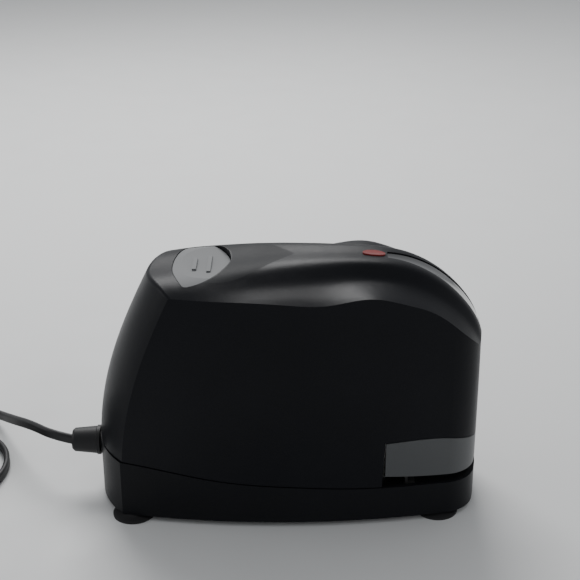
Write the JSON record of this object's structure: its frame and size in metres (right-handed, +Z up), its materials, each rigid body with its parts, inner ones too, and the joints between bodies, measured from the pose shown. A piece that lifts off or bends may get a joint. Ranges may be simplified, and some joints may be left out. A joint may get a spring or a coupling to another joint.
{
  "type": "electric stapler",
  "caption": "Compact mains-powered desk stapler: leaning barrel-shaped shell, top release button, front paper throat, slide-out staple magazine, motor and gear drive, rubber feet and lead.",
  "frame": {"origin": "on the table plane under the feet, midway along and across the machine without its lead", "axes": "+X towards the nose where paper goes in, +Y to the machine's left side, +Z up"},
  "size_m": [0.3248, 0.1188, 0.1289],
  "materials": {
    "black_housing": "fine moulded texture",
    "black_base": "fine moulded texture",
    "leaf_satin": "smooth satin",
    "strip_gloss": "polished",
    "grey_plastic": "fine satin",
    "button_grey": "fine satin",
    "red_lens": "clear red",
    "lamp": "clear",
    "rubber": "matt",
    "cord": "satin",
    "steel": "brushed",
    "zinc": "zinc plated",
    "polished_steel": "ground",
    "brass": "turned",
    "nylon_white": "moulded",
    "nylon_black": "moulded",
    "magnet": "sintered",
    "board_green": "solder resist",
    "component_black": "moulded",
    "component_blue": "sleeved",
    "copper": "enamelled wire"
  },
  "bodies": {
    "chassis": {"anvil_plate": "polished_steel", "base_shell": "black_base", "board_capacitors": "component_black", "board_choke": "copper", "board_relay": "component_blue", "board_standoffs": "zinc", "bottom_plate": "nylon_black", "bottom_screws": "zinc", "bushes": "brass", "button_bracket": "zinc", "button_spring": "steel", "circuit_board": "board_green", "cord_coil": "cord", "driver_guide": "nylon_black", "foot_front_left": "rubber", "foot_front_right": "rubber", "foot_rear_left": "rubber", "foot_rear_right": "rubber", "frame_left": "zinc", "frame_right": "zinc", "frame_screws": "zinc", "frame_spacers": "polished_steel", "housing_cover": "black_housing", "indicator_lamp": "lamp", "indicator_lens": "red_lens", "leaf_panel": "leaf_satin", "magazine_bed": "zinc", "motor_can": "zinc", "motor_end_cap": "nylon_white", "motor_magnets": "magnet", "nose_strip": "strip_gloss", "paper_stop": "nylon_black", "pivot_pins": "polished_steel", "plug_blades": "brass", "plug_body": "rubber", "plug_lead": "cord", "power_cord": "cord", "strain_relief": "rubber", "trigger_switch": "component_black"},
    "cam": {"cam_gear": "nylon_white", "crank": "steel"},
    "idler": {"idler_wheel": "nylon_white", "idler_pinion": "steel"},
    "rotor": {"motor_rotor": "steel", "motor_pinion": "brass"},
    "arm": {"hammer_arm": "steel"},
    "driver": {"driver_holder": "nylon_black", "driver_blade": "polished_steel"},
    "magazine": {"magazine_channel": "steel", "staple_rail": "zinc", "staple_strip": "polished_steel", "pusher_rod": "polished_steel", "pusher_spring": "steel", "striker_plate": "steel", "magazine_front": "grey_plastic"},
    "pusher": {"staple_pusher": "nylon_black"},
    "button": {"release_button": "button_grey"},
    "latch": {"latch_lever": "nylon_black"},
    "trigger": {"paper_trigger": "nylon_white"}
  },
  "joints": [
    {"name": "cam_spin", "type": "hinge", "parent": "chassis", "child": "cam", "pos_m": [-0.00572, -0.0195, 0.06924], "axis": [0, 1, 0], "continuous": true},
    {"name": "idler_spin", "type": "hinge", "parent": "chassis", "child": "idler", "pos_m": [-0.04158, -0.02, 0.06611], "axis": [0, 1, 0], "continuous": true},
    {"name": "rotor_spin", "type": "hinge", "parent": "chassis", "child": "rotor", "pos_m": [-0.061, 0, 0.052], "axis": [0, 1, 0], "continuous": true},
    {"name": "arm_swing", "type": "hinge", "parent": "chassis", "child": "arm", "pos_m": [-0.033, 0, 0.074], "axis": [0, 1, 0], "range_deg": [0, 7.86], "stiffness_Nm_per_rad": 1.5, "springref_deg": -6.88},
    {"name": "driver_stroke", "type": "slide", "parent": "chassis", "child": "driver", "axis": [0, 0, -1], "range_m": [0, 0.0155]},
    {"name": "magazine_slide", "type": "slide", "parent": "chassis", "child": "magazine", "axis": [1, 0, 0], "range_m": [0, 0.104]},
    {"name": "pusher_slide", "type": "slide", "parent": "magazine", "child": "pusher", "axis": [-1, 0, 0], "range_m": [0, 0.02], "stiffness_N_per_m": 40, "springref_m": -0.03, "deforming": ["pusher_spring"]},
    {"name": "button_press", "type": "slide", "parent": "chassis", "child": "button", "axis": [0, 0, -1], "range_m": [0, 0.003], "stiffness_N_per_m": 400, "springref_m": -0.003, "deforming": ["button_spring"]},
    {"name": "latch_rock", "type": "hinge", "parent": "chassis", "child": "latch", "pos_m": [-0.03, 0.0055, 0.042], "axis": [0, 1, 0], "range_deg": [-16.5, 0]},
    {"name": "trigger_swing", "type": "hinge", "parent": "chassis", "child": "trigger", "pos_m": [0.053, -0.0188, 0.038], "axis": [0, 1, 0], "range_deg": [0, 14], "stiffness_Nm_per_rad": 0.01, "springref_deg": -22.92}
  ],
  "couplings": [
    {"joint": "idler_spin", "follows": "rotor_spin", "ratio": -0.25},
    {"joint": "cam_spin", "follows": "rotor_spin", "ratio": 0.05},
    {"joint": "driver_stroke", "follows": "arm_swing", "m_per_rad": 0.113},
    {"joint": "latch_rock", "follows": "button_press", "rad_per_m": -95}
  ]
}
